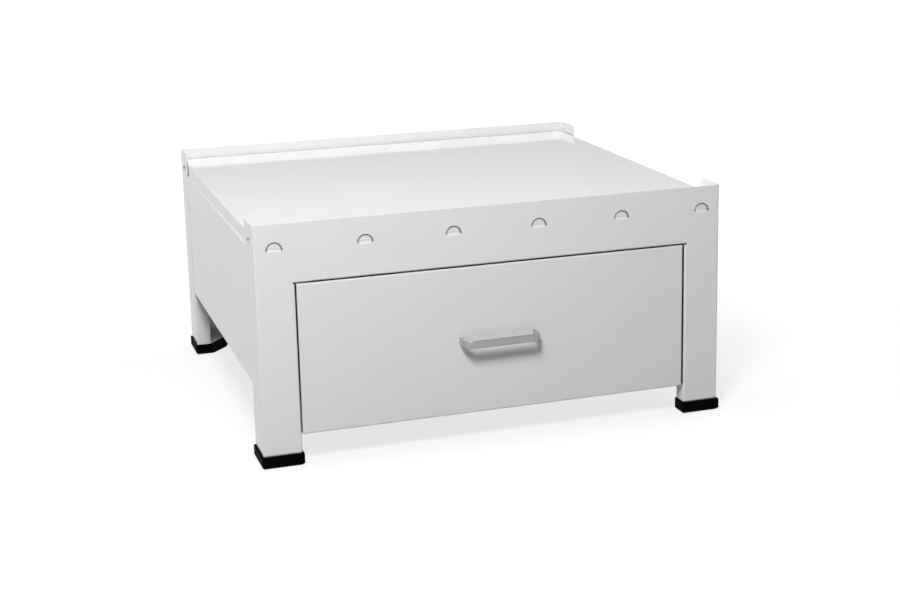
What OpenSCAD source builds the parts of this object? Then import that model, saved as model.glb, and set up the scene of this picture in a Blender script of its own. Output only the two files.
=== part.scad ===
// Stand with a drawer, for a washing machine or dryer.
// Two folded sheet-steel frames, front and back, carry a plate for the machine's feet. Below it a
// drawer runs out to the front on full-extension ball runners.
// +Z is up, the drawer opens towards -Y, and the origin is on the floor under the middle.

/* [Stand] */
// Width over the frames
stand_w = 600; // [590:5:680]
// Depth from the front face to the back face
stand_d = 550; // [540:5:640]
// Height from the floor to the rim
stand_h = 300; // [292:2:340]
// Sheet thickness of the frames, the plate and the panels
sheet = 1.2; // [0.8:0.1:1.5]
// Inside radius of the folds
fold_r = 1.5; // [1:0.1:2]
// Height of the relief notches at the folds
relief = 1.5; // [1:0.1:2]

/* [Frames] */
// Width of a leg's front face
leg_w = 48; // [42:1:60]
// Depth of a frame's side flange
flange_d = 50; // [44:1:60]
// Depth of the return along a leg's inner edge, and of the fold under the beam
return_d = 20; // [17:1:24]
// Width of the lip along the back of a side flange
lip_w = 20; // [16:1:24]
// Height of the beam's underside above the floor
beam_z = 227; // [222:1:234]
// Length of the relief slot at each corner of the drawer opening
slot_len = 23; // [14:1:30]
// Clear height of the relief slot
slot_h = 2.3; // [1.5:0.1:3]
// How far the relief slot lies below the beam
slot_drop = 1; // [0.5:0.1:1.5]

/* [Locating tabs] */
// Number of half-moon tabs along a beam
tab_count = 6; // [2:1:6]
// Distance from one tab to the next
tab_pitch = 110; // [80:1:112]
// Radius of a tab's arc
tab_r = 10; // [7:0.5:11]
// Height of the arc's middle above the tab's fold
tab_bulge = 1.9; // [1:0.1:3]
// Width of the cut along the arc
tab_cut = 1; // [0.6:0.1:1.5]
// Radius of the relief holes at the ends of the cut
tab_hole_r = 0.9; // [0.6:0.1:1]
// How far a tab is pushed in
tab_step = 1.6; // [1:0.1:2]
// Height of the sloping step at a tab's fold
tab_slope = 3; // [2:0.1:4]
// Distance from the rim down to a tab's fold
tab_drop = 33.3; // [32:0.1:38]
// Gap between the tabs and the plate
tab_gap = 0.3; // [0.1:0.1:0.5]

/* [Plate] */
// Depth of the plate below the rim
rim_h = 14; // [10:1:16]
// Distance from the frame's side to the plate's flange
plate_inset = 1.8; // [1.6:0.1:5]
// Height of the plate's side flanges
plate_side = 16; // [15:1:20]
// Height of the plate's front and back flanges
plate_end = 25; // [22:1:30]
// Width of a brace's hat section
brace_w = 40; // [30:1:60]
// Depth of a brace's hat section
brace_h = 23; // [15:1:26]
// Width of a brace's foot on the plate
brace_foot = 15; // [10:1:20]
// Distance from the front or back face to the middle of a brace
brace_in = 120; // [95:5:160]
// Distance of a plate screw from the front or back face
plate_screw_in = 28; // [24:1:34]
// Height of a plate screw above the lower edge of the plate's side flange
plate_screw_up = 7; // [6:0.5:8]
// Radius of the collar of a plate nut
nut_collar_r = 4.5; // [4:0.1:5]
// Radius of the barrel of a plate nut
nut_r = 3; // [2.8:0.1:3.4]
// Radius of a plate nut's bulge behind the flange
nut_bulge_r = 4.2; // [3.8:0.1:4.5]
// Reach of a plate nut behind the plate's flange
nut_l = 6; // [5:0.5:8]

/* [Side panels] */
// Height of a side panel's lower edge above the floor
panel_z = 94; // [60:2:110]
// Depth of a side panel's folds
panel_fold = 15; // [14:1:18]
// Gap between a side panel and a frame's lip
panel_gap = 0.1; // [0.05:0.05:0.3]
// Distance of a panel rivet from the side
panel_rivet_in = 10; // [9:0.5:10.5]
// Distance of a panel rivet from the panel's upper or lower edge
panel_rivet_up = 28; // [15:1:50]

/* [Rear tie] */
// Height of the tie's lower edge above the floor
tie_z = 30; // [24:1:34]
// Height of the tie
tie_h = 30; // [24:1:32]
// Depth of the tie
tie_d = 18; // [15:0.5:18]
// Distance of the tie from the back face
tie_in = 1.5; // [1:0.1:3]
// Gap between the tie and a leg's return
tie_gap = 0.1; // [0.05:0.05:0.3]

/* [Feet] */
// Height of a foot cap
foot_h = 15; // [12:1:20]
// Thickness of the cap under the leg
foot_floor = 4; // [3:0.5:6]
// Thickness of the cap round the leg
foot_wall = 2; // [1.5:0.1:3]
// Height of the bevel round the cap's sole
foot_bevel = 3; // [1:0.5:4]
// Gap between the cap and the leg's sheet
foot_gap = 0.1; // [0.05:0.05:0.3]

/* [Drawer front] */
// Gap round the drawer front
front_gap = 2.5; // [2:0.1:3.5]
// Height of the drawer front's lower edge above the floor
front_z = 39.5; // [34:0.5:45]
// Depth of the drawer front
front_d = 18; // [15:0.5:19]
// Inside radius of the drawer front's folds
front_r = 0.6; // [0.4:0.1:1.5]
// Width of the lip round the back of the drawer front
front_lip = 26; // [22:1:30]
// Distance of a front screw from the outside of the box
front_screw_in = 9.5; // [8:0.5:12]
// Distance of a front screw from the box's upper or lower edge
front_screw_up = 30; // [20:1:50]

/* [Drawer box] */
// Sheet thickness of the drawer box
box_sheet = 1; // [0.8:0.1:1.2]
// Inside radius of the box's folds
box_r = 1; // [0.8:0.1:1.5]
// Height of the box's underside above the floor
box_z = 50; // [46:1:55]
// Height of the box
box_h = 140; // [130:1:160]
// Length of the box
box_l = 478; // [472:1:482]
// Width of the fold along the top of a box side
box_hem = 8; // [6:1:12]
// Depth of the folds round the box's front and back
box_fold = 12; // [10:1:16]
// Gap between the box's front or back and its sides
box_gap = 0.1; // [0.05:0.05:0.3]
// Size of the notch where two of these folds meet
box_notch = 3; // [3:0.5:5]
// Distance of a box rivet from the end of the box
box_rivet_in = 7; // [6:0.5:8]
// Distance of a box rivet from the box's upper or lower edge
box_rivet_up = 18; // [15:1:24]
// Number of beads in the bottom
bead_count = 3; // [1:1:5]
// Height of a bead
bead_h = 2; // [1:0.5:3]
// Width of a bead
bead_w = 16; // [12:1:24]
// Distance from one bead to the next
bead_pitch = 100; // [60:5:110]
// Distance from a bead's end to the end of the box
bead_in = 45; // [25:5:90]

/* [Handle] */
// Distance between the handle's screws
handle_pitch = 96; // [64:32:160]
// Reach of the handle in front of the drawer
handle_out = 21; // [19:1:30]
// Height of the handle's bar
handle_h = 10; // [8:0.5:14]
// Thickness of the handle's bar
handle_t = 5; // [4.5:0.1:6]
// Inside radius of the handle's corners
handle_r = 5; // [3:0.5:6]
// Rounding along the bar's edges
handle_edge = 1.8; // [1:0.1:2.1]
// Radius of a handle screw
handle_screw_r = 1.5; // [1.4:0.05:1.6]
// Reach of a handle screw into the handle
handle_screw_l = 8; // [6:0.5:8]

/* [Runners] */
// Length of the middle and the drawer member
runner_l = 450; // [440:5:450]
// Height of the runners' middle above the floor
runner_z = 100; // [97:1:106]
// Height of the fixed member
runner_h = 45; // [43:1:50]
// Width from the carrier to the drawer box
runner_w = 12.7; // [12.5:0.1:14]
// Thickness of the members' webs
web_t = 1.2; // [1:0.1:1.3]
// Thickness of the members' arms, where the balls run
arm_t = 1.4; // [1.2:0.1:1.6]
// Inside radius of the members' corners
arm_r = 1; // [0.8:0.1:1.2]
// Distance from the box to the tips of the arms
arm_tip = 2.6; // [2.2:0.1:2.7]
// Distance from the box to the line of the balls
race_in = 4.9; // [4.7:0.1:5]
// Gap between two arms
race_gap = 2.6; // [2.4:0.1:2.8]
// Gap between parts that pass each other
run_gap = 0.3; // [0.25:0.05:0.4]
// Radius of a ball
ball_r = 1.6; // [1.5:0.05:1.7]
// Running clearance of a ball in its groove
ball_gap = 0.05; // [0.03:0.01:0.08]
// Balls in one row
ball_count = 6; // [4:1:8]
// Distance from one ball to the next
ball_pitch = 18; // [10:1:20]
// Sheet thickness of a ball cage
cage_t = 0.6; // [0.5:0.05:0.7]
// Inside radius of a ball cage's corners
cage_r = 0.5; // [0.4:0.1:0.8]
// How far a cage's edges stay back from the arms' tips
cage_back = 0.2; // [0.1:0.05:0.3]
// Length of the fixed member behind the moving ones, which holds the buffer
buffer_l = 10; // [7:1:14]
// Radius of the buffer's peg
peg_r = 2.5; // [2:0.5:3]
// Distance of the fixed member's first and last screw from the ends of its travel space
rail_screw_in = 35; // [20:5:60]
// Distance of the drawer member's screws from its ends
in_screw_in = 55; // [20:5:80]

/* [Runner carriers] */
// Height of a carrier
carrier_h = 76; // [72:2:82]
// Depth of a carrier's folds
carrier_fold = 14; // [10:1:18]
// Distance of a carrier's end from the front or back face
carrier_in = 4; // [3.5:0.5:6]
// Distance of a carrier rivet from the front or back face
carrier_rivet_in = 12; // [11:0.5:13]
// Distance of a carrier rivet from the carrier's upper or lower edge
carrier_rivet_up = 6; // [5:0.5:7]

/* [Fasteners] */
// Radius of a screw
screw_r = 2; // [1.8:0.05:2.2]
// Radius of a plate screw's head
head_r = 4; // [3.5:0.1:4.5]
// Height of a plate screw's head
head_h = 2.2; // [1.8:0.1:2.6]
// Width of the cross slot in a plate screw's head
cross_w = 0.9; // [0.7:0.1:1.1]
// Length of a screw's thread
screw_l = 10; // [8:1:12]
// Radius of a low head
low_r = 3.6; // [3:0.1:4]
// Height of a low head
low_h = 1.2; // [1:0.1:1.3]
// Radius of the socket in a low head
socket_r = 1.6; // [1.2:0.1:1.8]
// Depth of the socket in a low head
socket_h = 0.7; // [0.5:0.1:0.8]
// Radius of a rivet
rivet_r = 1.6; // [1.4:0.1:1.8]
// Height of a rivet's head
rivet_h = 1; // [0.8:0.1:1.2]
// Radius of a rivet's closed end, as a multiple of the rivet's
rivet_tail = 1.6; // [1.4:0.1:1.9]
// Clearance of a fastener in its hole
hole_gap = 0.1; // [0.05:0.05:0.2]

/* [Hidden] */
$fn = 48;
paint = [0.93, 0.93, 0.92];
steel = [0.72, 0.73, 0.75];
grey = [0.6, 0.6, 0.61];
black = [0.06, 0.06, 0.06];
past = 1; // how far a cut runs past the face it opens

// Stand: the handle reaches forward and the caps reach back, so the faces lie off the middle
front_y = (handle_out - foot_wall - stand_d) / 2;
rear_y = front_y + stand_d;
mid_y = (front_y + rear_y) / 2;
half_w = stand_w / 2;
inner_x = half_w - leg_w;
fold_out = fold_r + sheet;
plate_z = stand_h - rim_h;
plate_low = plate_z - plate_side;
plate_under = plate_z - sheet;
lip_top = plate_low - relief;

// Mid-lines of the frames' sheet, seen from above with the face at y = 0
web_mid = sheet / 2;
side_mid = half_w - sheet / 2;
flange_mid = flange_d - sheet / 2;
lip_end = half_w - lip_w;
return_mid = inner_x + sheet / 2;
opening_x = inner_x + fold_out;
slot_z = beam_z - slot_drop;
beam_half = opening_x - slot_len;

// Tabs
tab_z = stand_h - tab_drop;

// Plate and panels
plate_half = half_w - plate_inset;
plate_in = tab_step + sheet + tab_gap;
plate_l = stand_d - 2 * plate_in;
brace_half = half_w - panel_fold - fold_out;
plate_screw_z = plate_low + plate_screw_up;
panel_l = stand_d - 2 * (flange_d + panel_gap);
panel_h = plate_low - panel_z;
panel_rivet_x = half_w - panel_rivet_in;
panel_rivet_z = [panel_z + panel_rivet_up, plate_low - panel_rivet_up];
tie_half = inner_x - tie_gap;
tie_rivet_y = tie_in + tie_d / 2;
tie_rivet_z = [tie_z + tie_h / 4, tie_z + 3 * tie_h / 4];

// Plan of a foot cap: the leg's plan with the corner between lip and return cut across
diag = [lip_w - leg_w, flange_d - return_d];
diag_at = [leg_w, return_d] + foot_wall * [diag[1], -diag[0]] / norm(diag);
cap_far = leg_w + foot_wall;
cap_back = flange_d + foot_wall;
cap_side = diag_at[1] + (cap_far - diag_at[0]) * diag[1] / diag[0];
cap_end = diag_at[0] + (cap_back - diag_at[1]) * diag[0] / diag[1];
cap_plan = [[half_w + foot_wall, cap_back], [half_w - cap_end, cap_back],
    [half_w - cap_far, cap_side], [half_w - cap_far, -foot_wall], [half_w + foot_wall, -foot_wall]];

// Runners, from the carrier in to the box
rail_x = inner_x + sheet;
mid_x = rail_x - web_t - low_h - 2 * run_gap - cage_t;
box_x = rail_x - runner_w;
tip_x = box_x + arm_tip;
race_x = box_x + race_in;
mid_h = runner_h - 2 * (arm_t + race_gap);
in_h = mid_h - 2 * (arm_t + race_gap);
in_d = mid_x - web_t - 2 * run_gap - cage_t - box_x;
race_out_z = mid_h / 2 + race_gap / 2;
race_in_z = in_h / 2 + race_gap / 2;
runner_y = return_d + 2 * run_gap;
cage_y = runner_y + runner_l / 2;
cage_l = (ball_count + 1) * ball_pitch;
rail_screw_y = [runner_y + rail_screw_in, cage_y, runner_y + runner_l - rail_screw_in];
in_screw_y = [runner_y + in_screw_in, runner_y + runner_l - in_screw_in];
carrier_rivet_z = [runner_z - carrier_h / 2 + carrier_rivet_up,
    runner_z + carrier_h / 2 - carrier_rivet_up];

// Drawer
front_half = inner_x - front_gap;
front_h = beam_z - front_gap - front_z;
front_mid_z = front_z + front_h / 2;
front_screw_x = box_x - front_screw_in;
front_screw_z = [box_z + front_screw_up, box_z + box_h - front_screw_up];
box_mid = box_x - box_sheet / 2;
box_top = box_z + box_h;
box_in = box_x - box_sheet - box_gap;
box_end_h = box_h - 2 * (box_sheet + box_gap);
box_rivet_y = [front_d + box_rivet_in, front_d + box_l - box_rivet_in];
box_rivet_z = [box_z + box_rivet_up, box_top - box_rivet_up];

// ---- Placing ----

// Frame coordinates: y = 0 is the outer face, and +y goes into the stand
module at_front() {
    translate([0, front_y, 0]) children();
}

module at_rear() {
    translate([0, rear_y, 0]) mirror([0, 1, 0]) children();
}

module at_both_ends() {
    at_front() children();
    at_rear() children();
}

module left() {
    mirror([1, 0, 0]) children();
}

module both_sides() {
    children();
    left() children();
}

// A section drawn in x and z, from y = 0 to y = length
module along_y(length) {
    translate([0, length, 0]) rotate([90, 0, 0]) linear_extrude(length) children();
}

// A section drawn in y and z, laid across x about the middle
module across_x(length) {
    rotate([90, 0, 90]) linear_extrude(length, center = true) children();
}

// What is drawn towards +z points towards +x, -x or -y instead
module towards_x() {
    rotate([0, 90, 0]) children();
}

module inwards_x() {
    rotate([0, -90, 0]) children();
}

module towards_front() {
    rotate([90, 0, 0]) children();
}

// ---- Sheet sections ----

function dir(a, b) = (b - a) / norm(b - a);

// Folded sheet, drawn as a section along its mid-line with right-angled bends
module folded(path, t, r) {
    rm = r + t / 2;
    last = len(path) - 1;
    for (i = [0 : last - 1]) {
        u = dir(path[i], path[i + 1]);
        from = path[i] + (i > 0 ? rm : 0) * u;
        to = path[i + 1] - (i < last - 1 ? rm : 0) * u;
        strip(from, to, t);
        if (i < last - 1) {
            bend(path[i + 1], u, dir(path[i + 1], path[i + 2]), t, r);
        }
    }
}

module strip(from, to, t) {
    u = dir(from, to);
    side = t / 2 * [-u[1], u[0]];
    polygon([from - side, to - side, to + side, from + side]);
}

module bend(corner, u, v, t, r) {
    outer = r + t;
    translate(corner + (r + t / 2) * (v - u)) intersection() {
        difference() {
            circle(r = outer);
            circle(r = r);
        }
        polygon([[0, 0], outer * u, outer * (u - v), -outer * v]);
    }
}

// Section of a block below y = 0, centred on x, with all its corners rounded
module rounded(w, h, r) {
    translate([-w / 2, r - h]) square([w, h - 2 * r]);
    translate([r - w / 2, -h]) square([w - 2 * r, h]);
    for (x = [r - w / 2, w / 2 - r], y = [-r, r - h]) {
        translate([x, y]) circle(r = r);
    }
}

// The same with sharp corners at the bottom
module top_rounded(w, h, r) {
    translate([-w / 2, -h]) square([w, h - r]);
    translate([r - w / 2, -h]) square([w - 2 * r, h]);
    for (x = [r - w / 2, w / 2 - r]) {
        translate([x, -r]) circle(r = r);
    }
}

// C section below y = 0, open downwards
module channel(w, depth, web, arm, r) {
    difference() {
        top_rounded(w, depth, r + web);
        translate([0, -web]) top_rounded(w - 2 * arm, depth, r);
    }
}

// Block below z = 0 with its upper edges rounded
module topped_block(w, l, depth, r) {
    intersection() {
        translate([0, -l / 2, 0]) along_y(l) top_rounded(w, depth, r);
        across_x(w) top_rounded(l, depth, r);
    }
}

// Block below z = 0 with its upper and lower edges rounded
module rounded_block(w, l, depth, r) {
    intersection() {
        translate([0, -l / 2, 0]) along_y(l) rounded(w, depth, r);
        across_x(w) rounded(l, depth, r);
    }
}

// Shallow tray of folded sheet, its face up at z = 0 and its flanges down
module pan(w, l, depth, t, r) {
    difference() {
        topped_block(w, l, depth, r + t);
        translate([0, 0, -t]) topped_block(w - 2 * t, l - 2 * t, depth, r);
    }
}

// ---- Holes and fasteners ----

module hole_x(r) {
    rotate([0, 90, 0]) cylinder(r = r + hole_gap, h = 2 * fold_out, center = true);
}

module hole_y(r) {
    rotate([90, 0, 0]) cylinder(r = r + hole_gap, h = 2 * fold_out, center = true);
}

// Head rounded like a lens, standing on z = 0
module dome(r, h) {
    ball = (pow(r, 2) + pow(h, 2)) / (2 * h);
    intersection() {
        cylinder(r = r, h = h);
        translate([0, 0, h - ball]) sphere(r = ball);
    }
}

// Rivet through sheets between z = -grip and z = 0
module rivet(grip) {
    dome(2 * rivet_r, rivet_h);
    translate([0, 0, -grip]) cylinder(r = rivet_r, h = grip);
    translate([0, 0, -grip - rivet_h]) cylinder(r = rivet_tail * rivet_r, h = rivet_h);
}

// Round-headed cross-slot screw, its head on z = 0
module plate_screw() {
    difference() {
        dome(head_r, head_h);
        for (turn = [0, 90]) {
            rotate([0, 0, turn]) translate([-head_r / 2, -cross_w / 2, head_h / 2]) {
                cube([head_r, cross_w, head_h]);
            }
        }
    }
    translate([0, 0, -screw_l]) cylinder(r = screw_r, h = screw_l);
}

// Screw with a flat low head on z = 0
module low_screw(r, length) {
    difference() {
        cylinder(r = low_r, h = low_h);
        translate([0, 0, low_h - socket_h]) cylinder(r = socket_r, h = low_h, $fn = 6);
    }
    translate([0, 0, -length]) cylinder(r = r, h = length);
}

// ---- Frames ----

module frame_shell() {
    // Below the plate the side flanges end in lips
    translate([0, 0, foot_floor]) linear_extrude(lip_top - foot_floor) {
        folded([[-lip_end, flange_mid], [-side_mid, flange_mid], [-side_mid, web_mid],
            [side_mid, web_mid], [side_mid, flange_mid], [lip_end, flange_mid]], sheet, fold_r);
    }
    translate([0, 0, lip_top]) linear_extrude(stand_h - lip_top) {
        folded([[-side_mid, flange_d], [-side_mid, web_mid], [side_mid, web_mid],
            [side_mid, flange_d]], sheet, fold_r);
    }
}

module frame_cutouts() {
    // The drawer opening takes the relief slots in
    translate([-opening_x, -past, 0]) {
        cube([2 * opening_x, sheet + 2 * past, slot_z + slot_h]);
    }
    translate([-beam_half, -past, 0]) {
        cube([2 * beam_half, sheet + 2 * past, beam_z + fold_out]);
    }
    // A notch ends each lip's fold
    both_sides() {
        translate([half_w - fold_out, flange_d - fold_out, lip_top]) {
            cube([fold_out + past, fold_out + past, relief]);
        }
    }
}

module leg_return() {
    translate([0, 0, foot_floor]) linear_extrude(slot_z - foot_floor) {
        folded([[opening_x + fold_out, web_mid], [return_mid, web_mid], [return_mid, return_d]],
            sheet, fold_r);
    }
}

module beam_fold() {
    across_x(2 * beam_half) {
        folded([[web_mid, beam_z + 2 * fold_out], [web_mid, beam_z + sheet / 2],
            [return_d, beam_z + sheet / 2]], sheet, fold_r);
    }
}

module at_tabs() {
    for (i = [0 : tab_count - 1]) {
        translate([(i - (tab_count - 1) / 2) * tab_pitch, 0, tab_z]) children();
    }
}

// Half the width of an arc where the sloping step ends
function arc_end(r) = sqrt(pow(r, 2) - pow(tab_slope - tab_bulge, 2));

module tab_outline(r) {
    step_end = arc_end(tab_r - tab_cut);
    intersection() {
        translate([0, tab_bulge]) circle(r = r);
        translate([-r, tab_slope]) square([2 * r, 2 * r]);
    }
    translate([-step_end, 0]) square([2 * step_end, tab_slope]);
}

module tab_cutout() {
    translate([0, -past, 0]) along_y(sheet + 2 * past) tab_outline(tab_r);
}

// The tab slopes in at its fold and stands upright above
module tab() {
    intersection() {
        along_y(tab_step + sheet) tab_outline(tab_r - tab_cut);
        across_x(2 * tab_r) {
            polygon([[0, 0], [sheet, 0], [tab_step + sheet, tab_slope],
                [tab_step + sheet, 2 * tab_r], [tab_step, 2 * tab_r], [tab_step, tab_slope]]);
        }
    }
}

module tab_relief() {
    for (side = [-1, 1]) {
        translate([side * (arc_end(tab_r) + arc_end(tab_r - tab_cut)) / 2, -past, tab_slope]) {
            along_y(tab_step + sheet + 2 * past) circle(r = tab_hole_r);
        }
    }
}

// Closes a leg above its foot: the leg's plan with the corner between lip and return cut across
module leg_end() {
    translate([0, 0, foot_h]) linear_extrude(sheet) {
        polygon([[lip_end, flange_mid], [side_mid - fold_r, flange_mid],
            [side_mid, flange_mid - fold_r], [side_mid, web_mid + fold_r],
            [side_mid - fold_r, web_mid], [return_mid + fold_r, web_mid],
            [return_mid, web_mid + fold_r], [return_mid, return_d]]);
    }
}

module frame() {
    difference() {
        union() {
            difference() {
                union() {
                    difference() {
                        frame_shell();
                        frame_cutouts();
                    }
                    both_sides() leg_return();
                    beam_fold();
                }
                at_tabs() tab_cutout();
            }
            at_tabs() tab();
            both_sides() leg_end();
        }
        at_tabs() tab_relief();
        both_sides() {
            translate([side_mid, plate_screw_in, plate_screw_z]) hole_x(screw_r);
            for (z = panel_rivet_z) {
                translate([panel_rivet_x, flange_mid, z]) hole_y(rivet_r);
            }
            for (z = carrier_rivet_z) {
                translate([return_mid, carrier_rivet_in, z]) hole_x(rivet_r);
            }
        }
    }
}

module front_frame() {
    color(paint) at_front() frame();
}

module rear_frame() {
    color(paint) at_rear() difference() {
        frame();
        both_sides() {
            for (z = tie_rivet_z) {
                translate([return_mid, tie_rivet_y, z]) hole_x(rivet_r);
            }
        }
    }
}

// ---- Plate ----

module top_plate() {
    color(paint) difference() {
        translate([0, mid_y, plate_z]) pan(2 * plate_half, plate_l, plate_end, sheet, fold_r);
        // The side flanges end on the side panels
        both_sides() {
            translate([plate_half - fold_out, front_y + plate_in + fold_out, plate_low - plate_end]) {
                cube([2 * fold_out, plate_l - 2 * fold_out, plate_end]);
            }
        }
        at_both_ends() both_sides() {
            translate([plate_half - sheet / 2, plate_screw_in, plate_screw_z]) hole_x(nut_r);
        }
    }
}

// Hat section under the plate
module brace() {
    top = plate_under - sheet / 2;
    low = plate_under - brace_h + sheet / 2;
    side = (brace_w - sheet) / 2;
    foot = brace_w / 2 + brace_foot;
    color(paint) translate([0, brace_in, 0]) across_x(2 * brace_half) {
        folded([[-foot, top], [-side, top], [-side, low], [side, low], [side, top], [foot, top]],
            sheet, fold_r);
    }
}

module plate_brace_front() {
    at_front() brace();
}

module plate_brace_rear() {
    at_rear() brace();
}

module at_plate_screws() {
    at_both_ends() both_sides() {
        translate([half_w, plate_screw_in, plate_screw_z]) towards_x() children();
    }
}

module plate_screws() {
    color(steel) at_plate_screws() plate_screw();
}

// Blind nut in the plate's flange, its collar filling the space to the frame
module plate_nut() {
    collar = plate_inset - sheet;
    difference() {
        union() {
            translate([0, 0, -collar]) cylinder(r = nut_collar_r, h = collar);
            translate([0, 0, -collar - sheet - nut_l]) cylinder(r = nut_r, h = sheet + nut_l);
            translate([0, 0, -collar - 2 * sheet]) cylinder(r = nut_bulge_r, h = sheet);
        }
        translate([0, 0, -collar - sheet - nut_l - past]) {
            cylinder(r = screw_r + hole_gap, h = plate_inset + nut_l + 2 * past);
        }
    }
}

module plate_nuts() {
    color(steel) at_plate_screws() translate([0, 0, -sheet]) plate_nut();
}

// ---- Side panels, rear tie and feet ----

module side_panel() {
    color(paint) difference() {
        translate([half_w, mid_y, panel_z + panel_h / 2]) towards_x() {
            pan(panel_h, panel_l, panel_fold, sheet, fold_r);
        }
        at_both_ends() {
            for (z = panel_rivet_z) {
                translate([panel_rivet_x, flange_d + panel_gap + sheet / 2, z]) hole_y(rivet_r);
            }
        }
    }
}

module side_panel_right() {
    side_panel();
}

module side_panel_left() {
    left() side_panel();
}

module panel_rivets() {
    color(steel) at_both_ends() both_sides() {
        for (z = panel_rivet_z) {
            translate([panel_rivet_x, flange_d - sheet, z]) towards_front() {
                rivet(2 * sheet + panel_gap);
            }
        }
    }
}

module rear_tie() {
    color(paint) at_rear() difference() {
        translate([0, tie_in, tie_z + tie_h / 2]) towards_front() {
            pan(2 * tie_half, tie_h, tie_d, sheet, fold_r);
        }
        both_sides() {
            for (z = tie_rivet_z) {
                translate([tie_half - sheet / 2, tie_rivet_y, z]) hole_x(rivet_r);
            }
        }
    }
}

module tie_rivets() {
    color(steel) at_rear() both_sides() {
        for (z = tie_rivet_z) {
            translate([tie_half - sheet, tie_rivet_y, z]) inwards_x() rivet(2 * sheet + tie_gap);
        }
    }
}

// Cuts the sole's edge from a to b; the cap lies on the left of it
module sole_bevel(a, b) {
    turn = atan2(b[1] - a[1], b[0] - a[0]);
    translate([a[0], a[1], 0]) rotate([0, 0, turn]) across_x(4 * cap_back) {
        polygon([[-past, -past], [foot_bevel + past, -past], [-past, foot_bevel + past]]);
    }
}

// Rubber cap that the end of the leg stands in
module foot() {
    color(black) difference() {
        linear_extrude(foot_h) polygon(cap_plan);
        // The slanting edge, the second one, stays square
        for (i = [0, 2, 3, 4]) {
            sole_bevel(cap_plan[i], cap_plan[(i + 1) % len(cap_plan)]);
        }
        translate([0, 0, foot_floor]) linear_extrude(foot_h) {
            folded([[lip_end - foot_gap, flange_mid], [side_mid, flange_mid], [side_mid, web_mid],
                [return_mid, web_mid], [return_mid, return_d + foot_gap]],
                sheet + 2 * foot_gap, fold_r - foot_gap);
        }
    }
}

module foot_front_right() {
    at_front() foot();
}

module foot_front_left() {
    left() foot_front_right();
}

module foot_rear_right() {
    at_rear() foot();
}

module foot_rear_left() {
    left() foot_rear_right();
}

// ---- Runner carriers and runners, right side ----

module slide_carrier() {
    back = rail_x + sheet / 2;
    rise = (carrier_h - sheet) / 2;
    color(steel) difference() {
        translate([0, front_y + carrier_in, runner_z]) along_y(stand_d - 2 * carrier_in) {
            folded([[rail_x + carrier_fold, -rise], [back, -rise], [back, rise],
                [rail_x + carrier_fold, rise]], sheet, fold_r);
        }
        at_both_ends() {
            for (z = carrier_rivet_z) {
                translate([back, carrier_rivet_in, z]) hole_x(rivet_r);
            }
        }
        at_front() rail_holes();
    }
}

module rail_holes() {
    for (y = rail_screw_y) {
        translate([rail_x, y, runner_z]) hole_x(screw_r);
    }
    translate([rail_x, runner_y + runner_l + buffer_l / 2, runner_z]) hole_x(peg_r);
}

module slide_carrier_right() {
    slide_carrier();
}

module slide_carrier_left() {
    left() slide_carrier();
}

module carrier_rivets() {
    color(steel) at_both_ends() both_sides() {
        for (z = carrier_rivet_z) {
            translate([inner_x, carrier_rivet_in, z]) inwards_x() rivet(2 * sheet);
        }
    }
}

// Places a section drawn about the runners' middle, its back at x
module member(x, length) {
    translate([x, front_y + runner_y, runner_z]) along_y(length) children();
}

// Ball groove along both arms of a member
module grooves(z) {
    translate([race_x, front_y + runner_y - past, runner_z]) {
        for (row = [-z, z]) {
            translate([0, 0, row]) along_y(runner_l + buffer_l + 2 * past) {
                circle(r = ball_r + ball_gap);
            }
        }
    }
}

module slide_outer() {
    color(steel) difference() {
        member(rail_x, runner_l + buffer_l) rotate(-90) {
            channel(runner_h, rail_x - tip_x, web_t, arm_t, arm_r);
        }
        grooves(race_out_z);
        at_front() rail_holes();
    }
}

module slide_outer_right() {
    slide_outer();
}

module slide_outer_left() {
    left() slide_outer();
}

module slide_outer_screws() {
    color(steel) at_front() both_sides() {
        for (y = rail_screw_y) {
            translate([rail_x - web_t, y, runner_z]) inwards_x() {
                low_screw(screw_r, web_t + sheet + low_h);
            }
        }
    }
}

// Rubber block behind the moving members, held by a peg through the rail
module slide_buffer() {
    length = buffer_l - run_gap;
    width = rail_x - web_t - box_x - web_t / 2;
    height = runner_h - 2 * (arm_t + hole_gap);
    color(black) translate([rail_x - web_t, front_y + runner_y + runner_l + run_gap, runner_z]) {
        translate([-width, 0, -height / 2]) cube([width, length, height]);
        translate([0, length / 2 - run_gap / 2, 0]) rotate([0, 90, 0]) {
            cylinder(r = peg_r, h = web_t + sheet);
        }
    }
}

module slide_buffer_right() {
    slide_buffer();
}

module slide_buffer_left() {
    left() slide_buffer();
}

module slide_middle() {
    color(steel) difference() {
        member(mid_x, runner_l) rotate(-90) {
            channel(mid_h, mid_x - tip_x, web_t, arm_t, arm_r);
        }
        grooves(race_out_z);
        grooves(race_in_z);
    }
}

module slide_middle_right() {
    slide_middle();
}

module slide_middle_left() {
    left() slide_middle();
}

module slide_inner() {
    color(steel) difference() {
        member(box_x, runner_l) rotate(90) channel(in_h, in_d, web_t, arm_t, arm_r);
        grooves(race_in_z);
        at_front() in_screw_holes();
    }
}

module in_screw_holes() {
    for (y = in_screw_y) {
        translate([box_x, y, runner_z]) hole_x(screw_r);
    }
}

module slide_inner_right() {
    slide_inner();
}

module slide_inner_left() {
    left() slide_inner();
}

module slide_inner_screws() {
    color(steel) at_front() both_sides() {
        for (y = in_screw_y) {
            translate([box_x + web_t, y, runner_z]) towards_x() {
                low_screw(screw_r, web_t + box_sheet + low_h);
            }
        }
    }
}

// ---- Ball cages and balls, right side ----

module at_balls(z) {
    for (i = [0 : ball_count - 1], row = [-z, z]) {
        translate([race_x, front_y + cage_y + (i - (ball_count - 1) / 2) * ball_pitch,
            runner_z + row]) children();
    }
}

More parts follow.
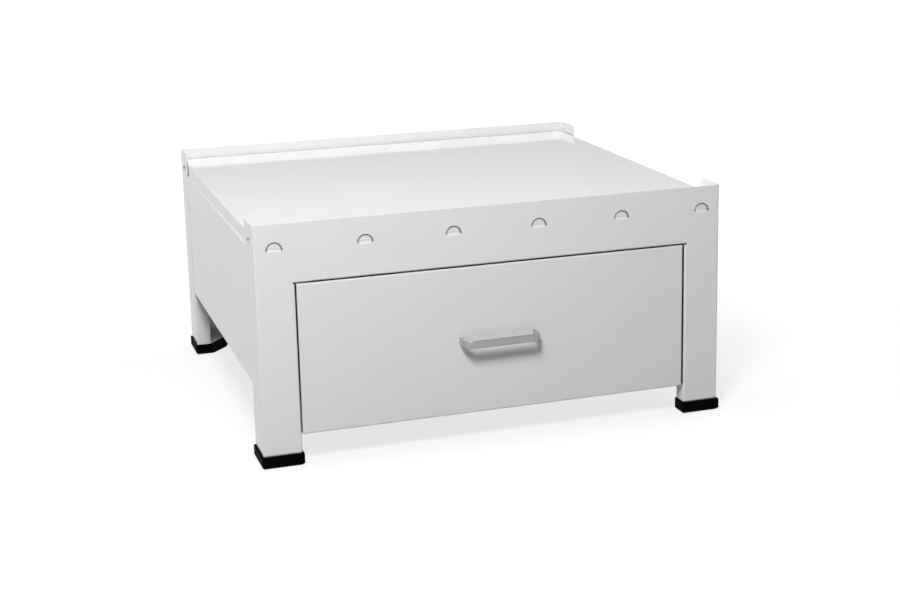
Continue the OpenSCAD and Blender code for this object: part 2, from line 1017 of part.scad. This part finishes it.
// Sheet cage whose web stands at x, between the rows of balls at height z
module cage(x, z) {
    color(steel) difference() {
        translate([0, front_y + cage_y - cage_l / 2, runner_z]) along_y(cage_l) {
            folded([[tip_x + cage_back, -z], [x, -z], [x, z], [tip_x + cage_back, z]],
                cage_t, cage_r);
        }
        at_balls(z) cylinder(r = ball_r + hole_gap, h = 4 * cage_t, center = true);
    }
}

module balls(z) {
    color(steel) at_balls(z) sphere(r = ball_r);
}

module cage_outer() {
    cage(mid_x + run_gap + cage_t / 2, race_out_z);
}

module cage_inner() {
    cage(mid_x - web_t - run_gap - cage_t / 2, race_in_z);
}

module cage_outer_right() {
    cage_outer();
}

module cage_outer_left() {
    left() cage_outer();
}

module cage_inner_right() {
    cage_inner();
}

module cage_inner_left() {
    left() cage_inner();
}

module balls_outer_right() {
    balls(race_out_z);
}

module balls_outer_left() {
    left() balls(race_out_z);
}

module balls_inner_right() {
    balls(race_in_z);
}

module balls_inner_left() {
    left() balls(race_in_z);
}

// ---- Drawer ----

module at_front_screws(y) {
    at_front() both_sides() {
        for (z = front_screw_z) {
            translate([front_screw_x, y, z]) children();
        }
    }
}

// Deep folded panel with lips round its back
module drawer_front() {
    inside = 2 * sheet;
    color(paint) difference() {
        at_front() translate([0, 0, front_mid_z]) towards_front() difference() {
            rounded_block(2 * front_half, front_h, front_d, front_r + sheet);
            translate([0, 0, -sheet]) {
                rounded_block(2 * front_half - inside, front_h - inside, front_d - inside, front_r);
            }
            translate([front_lip - front_half, front_lip - front_h / 2, -front_d - past]) {
                cube([2 * (front_half - front_lip), front_h - 2 * front_lip, front_d / 2]);
            }
        }
        at_front_screws(front_d - sheet / 2) hole_y(screw_r);
        at_handle_screws() rotate([90, 0, 0]) {
            cylinder(r = handle_screw_r + hole_gap, h = 4 * sheet, center = true);
        }
    }
}

module box_section() {
    top = box_top - box_sheet / 2;
    floor_z = box_z + box_sheet / 2;
    hem_x = box_x - box_hem;
    folded([[-hem_x, top], [-box_mid, top], [-box_mid, floor_z], [box_mid, floor_z],
        [box_mid, top], [hem_x, top]], box_sheet, box_r);
}

// A bead's upper side, or with t its hollow
module bead(t) {
    length = box_l - 2 * bead_in - 2 * t;
    for (i = [0 : bead_count - 1]) {
        translate([(i - (bead_count - 1) / 2) * bead_pitch, bead_in + length / 2 + t,
            box_z + box_sheet + bead_h - t]) {
            topped_block(bead_w - 2 * t, length, box_sheet + bead_h, box_r);
        }
    }
}

// Bottom and sides in one piece, stiffened by beads
module drawer_tray() {
    color(steel) difference() {
        translate([0, front_y + front_d, 0]) difference() {
            union() {
                along_y(box_l) box_section();
                bead(0);
            }
            bead(box_sheet);
        }
        at_front() both_sides() in_screw_holes();
        box_rivet_holes();
    }
}

module box_rivet_holes() {
    at_front() both_sides() {
        for (y = box_rivet_y, z = box_rivet_z) {
            translate([box_x, y, z]) hole_x(rivet_r);
        }
    }
}

// Front or back of the box, its face at y = 0 and its folds towards +y
module box_end() {
    translate([0, 0, box_z + box_h / 2]) towards_front() difference() {
        pan(2 * box_in, box_end_h, box_fold, box_sheet, box_r);
        for (x = [-box_in, box_in], y = [-box_end_h / 2, box_end_h / 2]) {
            translate([x, y, 0]) cube([2 * box_notch, 2 * box_notch, 3 * box_fold], center = true);
        }
    }
}

module drawer_box_front() {
    color(steel) difference() {
        translate([0, front_y + front_d, 0]) box_end();
        box_rivet_holes();
        at_front_screws(front_d + box_sheet / 2) hole_y(screw_r);
    }
}

module drawer_back() {
    color(steel) difference() {
        translate([0, front_y + front_d + box_l, 0]) mirror([0, 1, 0]) box_end();
        box_rivet_holes();
    }
}

module drawer_rivets() {
    color(steel) at_front() both_sides() {
        for (y = box_rivet_y, z = box_rivet_z) {
            translate([box_x, y, z]) towards_x() rivet(2 * box_sheet + box_gap);
        }
    }
}

module drawer_front_screws() {
    color(steel) at_front_screws(front_d + box_sheet) rotate([-90, 0, 0]) {
        low_screw(screw_r, box_sheet + sheet + low_h);
    }
}

module at_handle_screws() {
    at_front() both_sides() {
        translate([handle_pitch / 2, 0, front_mid_z]) children();
    }
}

// Bow handle bent from flat bar
// Section of the handle's bar, centred
module bar_section() {
    translate([0, handle_h / 2]) rounded(handle_t, handle_h, handle_edge);
}

module handle_bar() {
    turn = handle_r + handle_t / 2;
    leg = handle_out - handle_t / 2 - turn;
    half = handle_pitch / 2 - turn;
    translate([0, -leg - turn, 0]) across_x(2 * half) bar_section();
    both_sides() {
        translate([handle_pitch / 2, -leg, 0]) along_y(leg) bar_section();
        translate([half, -leg, 0]) rotate([0, 0, -90]) rotate_extrude(angle = 90) {
            translate([turn, 0]) bar_section();
        }
    }
}

module handle() {
    color(grey) difference() {
        translate([0, front_y, front_mid_z]) handle_bar();
        at_handle_screws() rotate([90, 0, 0]) {
            translate([0, 0, -past]) {
                cylinder(r = handle_screw_r + hole_gap, h = handle_screw_l + 2 * past);
            }
        }
    }
}

module handle_screws() {
    color(steel) at_handle_screws() translate([0, sheet, 0]) rotate([-90, 0, 0]) {
        low_screw(handle_screw_r, sheet + handle_screw_l);
    }
}

// ---- Nodes ----

front_frame();
rear_frame();
top_plate();
plate_brace_front();
plate_brace_rear();
side_panel_left();
side_panel_right();
rear_tie();
foot_front_left();
foot_front_right();
foot_rear_left();
foot_rear_right();
plate_screws();
plate_nuts();
panel_rivets();
tie_rivets();
slide_carrier_left();
slide_carrier_right();
carrier_rivets();
slide_outer_left();
slide_outer_right();
slide_outer_screws();
slide_buffer_left();
slide_buffer_right();
slide_middle_left();
slide_middle_right();
cage_outer_left();
cage_outer_right();
cage_inner_left();
cage_inner_right();
balls_outer_left();
balls_outer_right();
balls_inner_left();
balls_inner_right();
drawer_front();
drawer_tray();
drawer_box_front();
drawer_back();
slide_inner_left();
slide_inner_right();
slide_inner_screws();
drawer_rivets();
drawer_front_screws();
handle();
handle_screws();
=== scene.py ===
import math
import bmesh
import bpy
from mathutils import Matrix, Vector


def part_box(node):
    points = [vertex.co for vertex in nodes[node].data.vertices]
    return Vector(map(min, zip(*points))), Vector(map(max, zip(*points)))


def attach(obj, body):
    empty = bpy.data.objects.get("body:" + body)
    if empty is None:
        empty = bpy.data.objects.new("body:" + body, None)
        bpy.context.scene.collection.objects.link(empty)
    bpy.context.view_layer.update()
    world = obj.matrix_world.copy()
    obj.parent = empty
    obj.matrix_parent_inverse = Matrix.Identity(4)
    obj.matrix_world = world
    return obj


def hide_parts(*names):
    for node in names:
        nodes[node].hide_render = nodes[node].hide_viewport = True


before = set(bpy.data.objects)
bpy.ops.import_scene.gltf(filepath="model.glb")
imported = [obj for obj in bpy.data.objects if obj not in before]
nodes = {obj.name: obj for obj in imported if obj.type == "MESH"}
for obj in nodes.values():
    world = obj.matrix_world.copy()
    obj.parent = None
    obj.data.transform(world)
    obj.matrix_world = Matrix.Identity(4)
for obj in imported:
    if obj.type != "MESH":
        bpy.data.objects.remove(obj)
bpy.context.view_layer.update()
scene = bpy.context.scene

# ---------------------------------------------------------------- named values
# Lengths are in metres, lamps in watts, tones in linear light.

ENAMEL = (0.86, 0.86, 0.86)
# the drawer front's enamel a little darker than the rest: painted shade on its face
ENAMEL_FRONT_SHADED = (0.835, 0.835, 0.835)
BRIGHT = (0.7, 0.7, 0.71)
ZINC_GREY = (0.62, 0.63, 0.65)

# painted shade: how far off another surface darkens the paint, and the painted shade from
# closed in to open
CREVICE_SHADE = (0.006, ((0.12, 0.06), (0.42, 1.0)))
# the frame's slots and gaps get painted shade down to near black
CREVICE_SHADE_FRAME = (0.003, ((0.72, 0.02), (0.97, 1.0)))
CREVICE_SHADE_FRONT = (0.006, ((0.12, 0.25), (0.42, 1.0)))
CREVICE_SHADE_SAMPLES = 8

# stretch of a noise into lines
LINES_ALONG_X = (0.05, 1, 1)
LINES_ALONG_Y = (1, 0.04, 1)

FOLD_MARGIN = 0.003     # what lies this near to the edge of the drawer front is its fold
FOLD_STEP = 0.001       # the way that a fold moves outwards

BAR_THICK = 0.005       # handle: thickness of the bar
BAR_TURN = 0.0105       # radius of its bends, at the middle of the bar
BAR_EDGE = 0.0018       # radius of its long edges
EDGE_STEPS = 6
TURN_STEPS = 16
LEG_STEPS = 3

FLOOR_TONE = (0.25, 0.25, 0.25)
FLOOR_HALF = 30
FLOOR_DROP = 0.0002     # keeps the floor clear of the soles
FLOOR_NEAR = 0.75       # glow of the floor at the part
GLOW_SPAN = 4.0         # distance that the stops below are shares of
GLOW = ((0.12, FLOOR_NEAR), (0.5, 1.0))

AMBIENT = 0.185         # strength of the even light from all round
SKY = 0.27              # tone that camera and glossy rays meet overhead
HORIZON = 0.5           # added to the sine of a ray's height to find its stop
SKY_STOPS = ((0.6, 1.0), (0.67, SKY), (0.9, SKY))

LAMPS = {
    # name: (place, aimed at, width, height, watts)
    "key": ((-0.66, -1.36, 1.5), (0, -0.2, 0.15), 0.42, 0.42, 28.2),
    "left": ((-1.6, -0.5, 0.9), (-0.2, -0.1, 0.15), 0.8, 0.7, 1.0),
    "left_back": ((-1.5, 0.3, 1.6), (-0.1, 0, 0.2), 0.7, 0.7, 1.6),
    "top": ((-0.5, 0.1, 2.2), (0, 0, 0.2), 1.1, 1.1, 15.5),
    "top_right": ((0.9, 0.5, 1.9), (0, 0, 0.25), 0.9, 0.9, 8.0),
    "back": ((0.3, 1.9, 1.8), (0, 0.1, 0.15), 1.4, 1.0, 3.0),
    "right": ((2.4, 0.3, 0.9), (0.2, 0, 0.15), 1.2, 1.0, 6.0),
}

YAW, PITCH, ROLL = 18.279, 13.306, -1.120   # degrees
CAMERA_PLACE = (-0.6298, -2.1063, 0.7163)
FRAME_WIDTH = 900       # pixels
FOCAL = 1638.9          # pixels
SHIFT = (-30, -60)      # pixels
SENSOR = 36             # millimetres
CLIP_START = 0.05


# ---------------------------------------------------------------- node helpers
def new_material(name):
    m = bpy.data.materials.new(name)
    m.use_nodes = True
    t = m.node_tree
    t.nodes.clear()
    out = t.nodes.new("ShaderNodeOutputMaterial")
    return m, t, out


def node(t, kind, **values):
    n = t.nodes.new(kind)
    for k, v in values.items():
        setattr(n, k, v)
    return n


def link(t, a, b):
    t.links.new(a, b)


def feed(t, socket, value):
    """Gives a socket a number of its own, or another socket's output."""
    if isinstance(value, (int, float)):
        socket.default_value = value
    else:
        link(t, value, socket)


def math_node(t, op, a, b, clamp=False):
    n = node(t, "ShaderNodeMath", operation=op, use_clamp=clamp)
    feed(t, n.inputs[0], a)
    feed(t, n.inputs[1], b)
    return n.outputs[0]


def ramp(t, fac, stops):
    n = node(t, "ShaderNodeValToRGB")
    el = n.color_ramp.elements
    while len(el) < len(stops):
        el.new(0.5)
    for e, (pos, v) in zip(el, stops):
        e.position = pos
        e.color = (v, v, v, 1) if isinstance(v, (int, float)) else (*v, 1)
    link(t, fac, n.inputs[0])
    return n.outputs[0]


def spots(t, scale, detail=2.0, rough=0.5, stretch=None):
    """Noise, its scale counted over one metre of the piece."""
    coord = node(t, "ShaderNodeTexCoord").outputs["Object"]
    if stretch:
        mp = node(t, "ShaderNodeMapping")
        mp.inputs["Scale"].default_value = stretch
        link(t, coord, mp.inputs["Vector"])
        coord = mp.outputs[0]
    n = node(t, "ShaderNodeTexNoise")
    n.inputs["Scale"].default_value = scale
    n.inputs["Detail"].default_value = detail
    n.inputs["Roughness"].default_value = rough
    link(t, coord, n.inputs["Vector"])
    return n.outputs["Fac"]


def blend(t, broad, fine, shares=(0.6, 0.4)):
    """A broad and a fine pattern, added up by their shares."""
    return math_node(t, "ADD", math_node(t, "MULTIPLY", broad, shares[0]),
                     math_node(t, "MULTIPLY", fine, shares[1]))


def bump(t, height, distance, strength):
    b = node(t, "ShaderNodeBump")
    b.inputs["Strength"].default_value = strength
    b.inputs["Distance"].default_value = distance
    link(t, height, b.inputs["Height"])
    return b.outputs[0]


def principled(t, out, base, **values):
    p = node(t, "ShaderNodeBsdfPrincipled")
    link(t, base, p.inputs["Base Color"])
    for k, v in values.items():
        feed(t, p.inputs[k.replace("_", " ")], v)
    link(t, p.outputs[0], out.inputs[0])


def crevice_shade(t, colour, reach, stops):
    """Paints shade into a colour where another surface closes in within a few millimetres."""
    ao = node(t, "ShaderNodeAmbientOcclusion", samples=CREVICE_SHADE_SAMPLES)
    ao.inputs["Distance"].default_value = reach
    shade = ramp(t, ao.outputs["AO"], stops)
    mix = node(t, "ShaderNodeMix", data_type="RGBA", blend_type="MULTIPLY")
    mix.inputs["Factor"].default_value = 1.0
    link(t, colour, mix.inputs["A"])
    link(t, shade, mix.inputs["B"])
    return mix.outputs["Result"]


def dim(tone, share):
    return tuple(c * share for c in tone)


# ------------------------------------------------------------------- materials
def paint(name, tone, reach, stops):
    """Glossy baked enamel on sheet steel: slight cloudiness, fine orange peel, and painted
    shade where another surface closes in.
    """
    m, t, out = new_material(name)
    clouds = blend(t, spots(t, 14, detail=3), spots(t, 420, detail=2, rough=0.6))
    colour = ramp(t, clouds, [(0.3, dim(tone, 0.975)), (0.7, tone)])
    rough = ramp(t, spots(t, 60, detail=3), [(0.3, 0.26), (0.7, 0.36)])
    peel = bump(t, spots(t, 330, detail=1, rough=0.4), distance=0.00002, strength=0.2)
    waves = bump(t, spots(t, 120, detail=1, rough=0.4), distance=0.00001, strength=0.12)
    # the colour carries painted shade in crevices
    principled(t, out, crevice_shade(t, colour, reach, stops), Roughness=rough, Normal=peel,
               Specular_IOR_Level=0.0, Coat_Weight=1.0, Coat_Roughness=0.07,
               Coat_Normal=waves)
    return m


def rubber(name):
    """Moulded black foot: fine matt grain with a little dust in it."""
    m, t, out = new_material(name)
    dust = ramp(t, spots(t, 90, detail=4, rough=0.6), [(0.35, 0.0005), (0.75, 0.001)])
    rough = ramp(t, spots(t, 40, detail=3), [(0.3, 0.7), (0.7, 0.8)])
    grain = bump(t, spots(t, 1400, detail=2, rough=0.6), distance=0.00008, strength=0.4)
    principled(t, out, dust, Roughness=rough, Normal=grain, Specular_IOR_Level=0.03)
    return m


def handle_metal(name):
    """Satin grey lacquer on a bent strip."""
    m, t, out = new_material(name)
    fleck = ramp(t, spots(t, 900, detail=2, rough=0.6),
                 [(0.3, (0.33, 0.33, 0.335)), (0.7, (0.38, 0.38, 0.385))])
    rough = ramp(t, spots(t, 150, detail=3), [(0.3, 0.28), (0.7, 0.38)])
    lines = spots(t, 500, detail=2, stretch=LINES_ALONG_X)
    principled(t, out, fleck, Metallic=0.3, Roughness=rough,
               Normal=bump(t, lines, distance=0.00004, strength=0.3),
               Coat_Weight=1.0, Coat_Roughness=0.16)
    return m


def plated(name, tint, along=None):
    """Plated steel: a faint spangle and fine lines, drawn along the piece if it is rolled."""
    m, t, out = new_material(name)
    lines = spots(t, 900, detail=2, stretch=along)
    mix = blend(t, spots(t, 120, detail=3, rough=0.6), lines)
    colour = ramp(t, mix, [(0.35, dim(tint, 0.82)), (0.65, tint)])
    rough = ramp(t, mix, [(0.3, 0.24), (0.7, 0.4)])
    principled(t, out, colour, Metallic=1.0, Roughness=rough,
               Normal=bump(t, lines, distance=0.00003, strength=0.3))
    return m


WHITE = paint("white_enamel", ENAMEL, *CREVICE_SHADE)
FRAME = paint("white_enamel_frame", ENAMEL, *CREVICE_SHADE_FRAME)
FRONT = paint("white_enamel_front", ENAMEL_FRONT_SHADED, *CREVICE_SHADE_FRONT)
BLACK = rubber("black_rubber")
GREY = handle_metal("grey_lacquer")
ZINC = plated("zinc_plated", ZINC_GREY, LINES_ALONG_Y)
STEEL = plated("bright_steel", BRIGHT)


def material_of(name):
    if name.startswith("foot") or "buffer" in name:
        return BLACK
    if name == "handle":
        return GREY
    if name == "drawer_front":
        return FRONT
    if name == "front_frame":
        return FRAME
    if name.startswith("balls") or "screws" in name or "nuts" in name:
        return STEEL
    if name.startswith(("slide", "cage", "carrier", "drawer_rivets")):
        return ZINC
    return WHITE


for name, ob in nodes.items():
    ob.data.materials.clear()
    ob.data.materials.append(material_of(name))


# --------------------------------------------------- folds of the drawer front
def outset(ob, margin, step):
    """The upper, lower and left fold of a pan stand a little further out."""
    low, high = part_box(ob.name)
    t = bpy.data.node_groups.new("outset", "GeometryNodeTree")
    for way in ("INPUT", "OUTPUT"):
        t.interface.new_socket("Geometry", in_out=way, socket_type="NodeSocketGeometry")
    split = node(t, "ShaderNodeSeparateXYZ")
    link(t, node(t, "GeometryNodeInputPosition").outputs[0], split.inputs[0])
    left = math_node(t, "LESS_THAN", split.outputs["X"], low[0] + margin)
    under = math_node(t, "LESS_THAN", split.outputs["Z"], low[2] + margin)
    over = math_node(t, "GREATER_THAN", split.outputs["Z"], high[2] - margin)
    rise = math_node(t, "SUBTRACT", over, under)
    shift = node(t, "ShaderNodeCombineXYZ")
    link(t, math_node(t, "MULTIPLY", left, -step), shift.inputs["X"])
    link(t, math_node(t, "MULTIPLY", rise, step), shift.inputs["Z"])
    move = node(t, "GeometryNodeSetPosition")
    link(t, node(t, "NodeGroupInput").outputs[0], move.inputs["Geometry"])
    link(t, shift.outputs[0], move.inputs["Offset"])
    link(t, move.outputs[0], node(t, "NodeGroupOutput").inputs[0])
    ob.modifiers.new("outset", "NODES").node_group = t


outset(nodes["drawer_front"], FOLD_MARGIN, FOLD_STEP)


# ------------------------------------------------------------------ the handle
def bar_section(deep, half, edge):
    """Outline of a flat bar with rounded edges, corner by corner."""
    points = []
    for su, sv, start in ((1, 1, 0), (-1, 1, 90), (-1, -1, 180), (1, -1, 270)):
        for k in range(EDGE_STEPS + 1):
            a = math.radians(start + 90 * k / EDGE_STEPS)
            points.append((su * deep + edge * math.cos(a), sv * half + edge * math.sin(a)))
    return points


def bar_path(side, back, front, turn):
    """From the drawer front out, round the two bends and back, as x, y and turn so far."""
    bend = front + turn
    between = range(LEG_STEPS - 1, 0, -1)
    path = [(side, back, 0.0)]
    path += [(side, bend + (back - bend) * k / LEG_STEPS, 0.0) for k in between]
    for k in range(TURN_STEPS + 1):
        a = math.radians(90 * k / TURN_STEPS)
        path.append((side - turn + turn * math.cos(a), bend - turn * math.sin(a), a))
    return path + [(-x, y, math.pi - a) for x, y, a in reversed(path)]


def bow(name, low, high, thick, turn, edge):
    """A flat bar with rounded edges, bent twice: its two ends meet the drawer front."""
    section = bar_section(thick / 2 - edge, (high[2] - low[2]) / 2 - edge, edge)
    path = bar_path(high[0] - thick / 2, high[1], low[1] + thick / 2, turn)
    z = (low[2] + high[2]) / 2
    verts = [(x + u * math.cos(a), y - u * math.sin(a), z + v)
             for x, y, a in path for u, v in section]
    n = len(section)
    last = (len(path) - 1) * n
    faces = [(r + c, r + (c + 1) % n, r + n + (c + 1) % n, r + n + c)
             for r in range(0, last, n) for c in range(n)]
    faces += [tuple(range(n)), tuple(reversed(range(last, last + n)))]
    me = bpy.data.meshes.new(name)
    me.from_pydata(verts, [], faces)
    bm = bmesh.new()
    bm.from_mesh(me)
    bmesh.ops.recalc_face_normals(bm, faces=bm.faces)
    bm.to_mesh(me)
    bm.free()
    for p in me.polygons:
        p.use_smooth = len(p.vertices) == 4
    ob = bpy.data.objects.new(name, me)
    scene.collection.objects.link(ob)
    return ob


bar = bow("handle_bow", *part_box("handle"), BAR_THICK, BAR_TURN, BAR_EDGE)
bar.data.materials.append(GREY)
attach(bar, "drawer")
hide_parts("handle")


# ------------------------------------------------------------------- the stage
def seen_rays(t):
    """1 for the rays that show the stage itself, 0 for those that light the part."""
    lp = node(t, "ShaderNodeLightPath").outputs
    seen = math_node(t, "ADD", lp["Is Camera Ray"], lp["Is Glossy Ray"], clamp=True)
    return math_node(t, "ADD", seen, lp["Is Transmission Ray"], clamp=True)


def floor_material():
    m, t, out = new_material("stage_floor")
    length = node(t, "ShaderNodeVectorMath", operation="LENGTH")
    link(t, node(t, "ShaderNodeTexCoord").outputs["Object"], length.inputs[0])
    glow = ramp(t, math_node(t, "DIVIDE", length.outputs["Value"], GLOW_SPAN), GLOW)
    em = node(t, "ShaderNodeEmission")
    link(t, math_node(t, "MULTIPLY", glow, seen_rays(t)), em.inputs["Strength"])
    di = node(t, "ShaderNodeBsdfDiffuse")
    di.inputs["Color"].default_value = (*FLOOR_TONE, 1)
    add = node(t, "ShaderNodeAddShader")
    link(t, di.outputs[0], add.inputs[0])
    link(t, em.outputs[0], add.inputs[1])
    link(t, add.outputs[0], out.inputs[0])
    return m


for name, (place, target, w, h, watts) in LAMPS.items():
    data = bpy.data.lights.new(name, "AREA")
    data.shape = "RECTANGLE"
    data.size, data.size_y = w, h
    data.energy = watts
    ob = bpy.data.objects.new("lamp_" + name, data)
    ob.location = place
    ob.rotation_euler = (Vector(target) - Vector(place)).to_track_quat("-Z", "Y").to_euler()
    scene.collection.objects.link(ob)

world = bpy.data.worlds.new("studio")
scene.world = world
world.use_nodes = True
t = world.node_tree
t.nodes.clear()
split = node(t, "ShaderNodeSeparateXYZ")
link(t, node(t, "ShaderNodeTexCoord").outputs["Generated"], split.inputs[0])
height = math_node(t, "ADD", split.outputs["Z"], HORIZON, clamp=True)
plain = node(t, "ShaderNodeBackground")
plain.inputs["Strength"].default_value = AMBIENT
shown = node(t, "ShaderNodeBackground")
shown.inputs["Strength"].default_value = 1.0
link(t, ramp(t, height, SKY_STOPS), shown.inputs["Color"])
mixed = node(t, "ShaderNodeMixShader")
link(t, seen_rays(t), mixed.inputs[0])
link(t, plain.outputs[0], mixed.inputs[1])
link(t, shown.outputs[0], mixed.inputs[2])
link(t, mixed.outputs[0], node(t, "ShaderNodeOutputWorld").inputs[0])

corners = ((-1, -1), (1, -1), (1, 1), (-1, 1))
me = bpy.data.meshes.new("floor")
me.from_pydata([(x * FLOOR_HALF, y * FLOOR_HALF, 0) for x, y in corners], [], [(0, 1, 2, 3)])
floor = bpy.data.objects.new("floor", me)
floor.location = (0, 0, -FLOOR_DROP)
scene.collection.objects.link(floor)
me.materials.append(floor_material())

# ------------------------------------------------------------------ the camera
yaw, pitch, roll = (math.radians(a) for a in (YAW, PITCH, ROLL))
fwd = Vector((math.sin(yaw) * math.cos(pitch), math.cos(yaw) * math.cos(pitch),
              -math.sin(pitch)))
level = Vector((math.cos(yaw), -math.sin(yaw), 0))
upright = level.cross(fwd)
right = math.cos(roll) * level + math.sin(roll) * upright
up = math.cos(roll) * upright - math.sin(roll) * level
cam = bpy.data.cameras.new("camera")
cam.sensor_fit = "HORIZONTAL"
cam.sensor_width = SENSOR
cam.lens = FOCAL * SENSOR / FRAME_WIDTH
cam.shift_x = SHIFT[0] / FRAME_WIDTH
cam.shift_y = SHIFT[1] / FRAME_WIDTH
cam.clip_start = CLIP_START
camera = bpy.data.objects.new("camera", cam)
rows = [(*row, place) for row, place in zip(zip(right, up, -fwd), CAMERA_PLACE)]
camera.matrix_world = Matrix((*rows, (0, 0, 0, 1)))
scene.collection.objects.link(camera)
scene.camera = camera
scene.view_settings.view_transform = "Standard"
